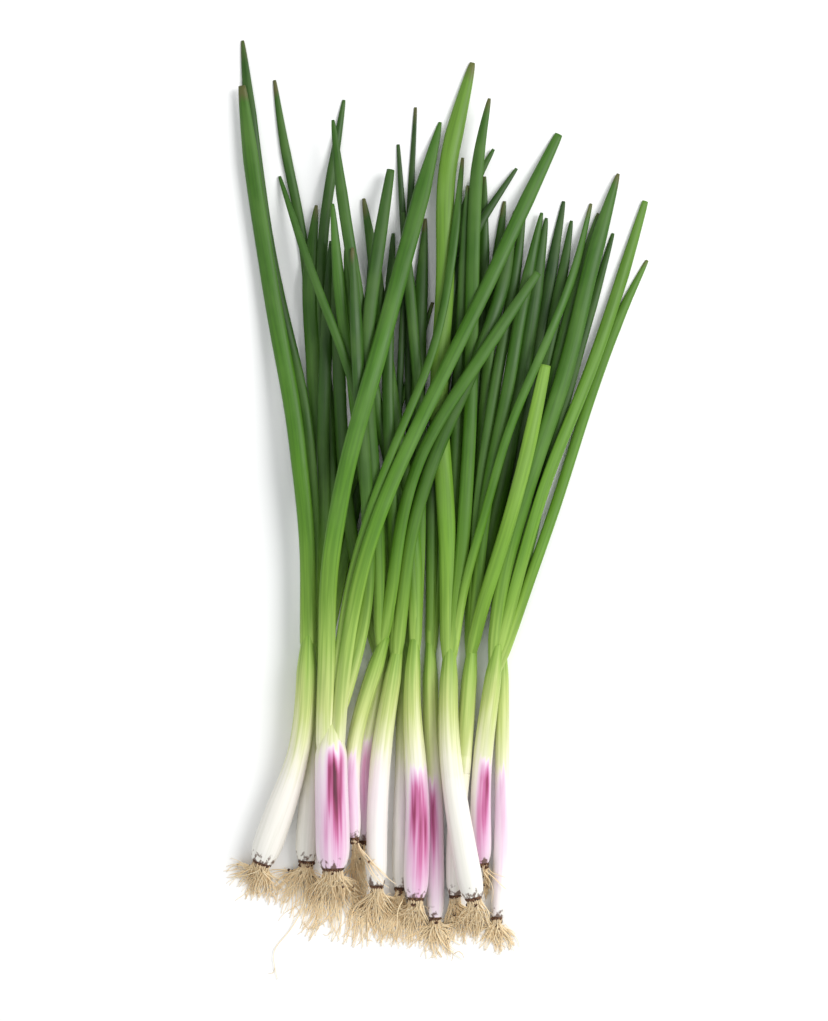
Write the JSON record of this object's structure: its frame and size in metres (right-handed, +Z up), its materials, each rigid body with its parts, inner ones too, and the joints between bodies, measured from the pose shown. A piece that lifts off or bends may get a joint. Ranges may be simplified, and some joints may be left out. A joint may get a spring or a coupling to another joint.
{
  "type": "spring onion bunch",
  "caption": "Loose bunch of spring onions lying flat, with white and purple shanks, pale necks, long tubular green leaves that cross and spread, and tufts of fine tan roots.",
  "frame": {"origin": "on the surface the bunch lies on, under the middle of its bounding box", "axes": "+Z up from the surface; +Y from the roots towards the leaf tips; +X across the bunch, to the right when looked down on with the tips away from the viewer"},
  "size_m": [0.1692, 0.3802, 0.0295],
  "materials": {
    "white shank": "satin",
    "purple shank": "satin",
    "leaf green": "satin",
    "root tan": "matte"
  },
  "bodies": {
    "root": {"onion_01_shank": "white shank", "onion_01_leaves": "leaf green", "onion_01_roots": "root tan", "onion_02_shank": "white shank", "onion_02_leaves": "leaf green", "onion_02_roots": "root tan", "onion_03_shank": "purple shank", "onion_03_leaves": "leaf green", "onion_03_roots": "root tan", "onion_04_shank": "purple shank", "onion_04_leaves": "leaf green", "onion_04_roots": "root tan", "onion_05_shank": "white shank", "onion_05_leaves": "leaf green", "onion_05_roots": "root tan", "onion_06_shank": "white shank", "onion_06_leaves": "leaf green", "onion_06_roots": "root tan", "onion_07_shank": "purple shank", "onion_07_leaves": "leaf green", "onion_07_roots": "root tan", "onion_08_shank": "purple shank", "onion_08_leaves": "leaf green", "onion_08_roots": "root tan", "onion_09_shank": "white shank", "onion_09_leaves": "leaf green", "onion_09_roots": "root tan", "onion_10_shank": "white shank", "onion_10_leaves": "leaf green", "onion_10_roots": "root tan", "onion_11_shank": "purple shank", "onion_11_leaves": "leaf green", "onion_11_roots": "root tan", "onion_12_shank": "purple shank", "onion_12_leaves": "leaf green", "onion_12_roots": "root tan", "onion_13_shank": "purple shank", "onion_13_leaves": "leaf green", "onion_13_roots": "root tan"}
  },
  "joints": []
}
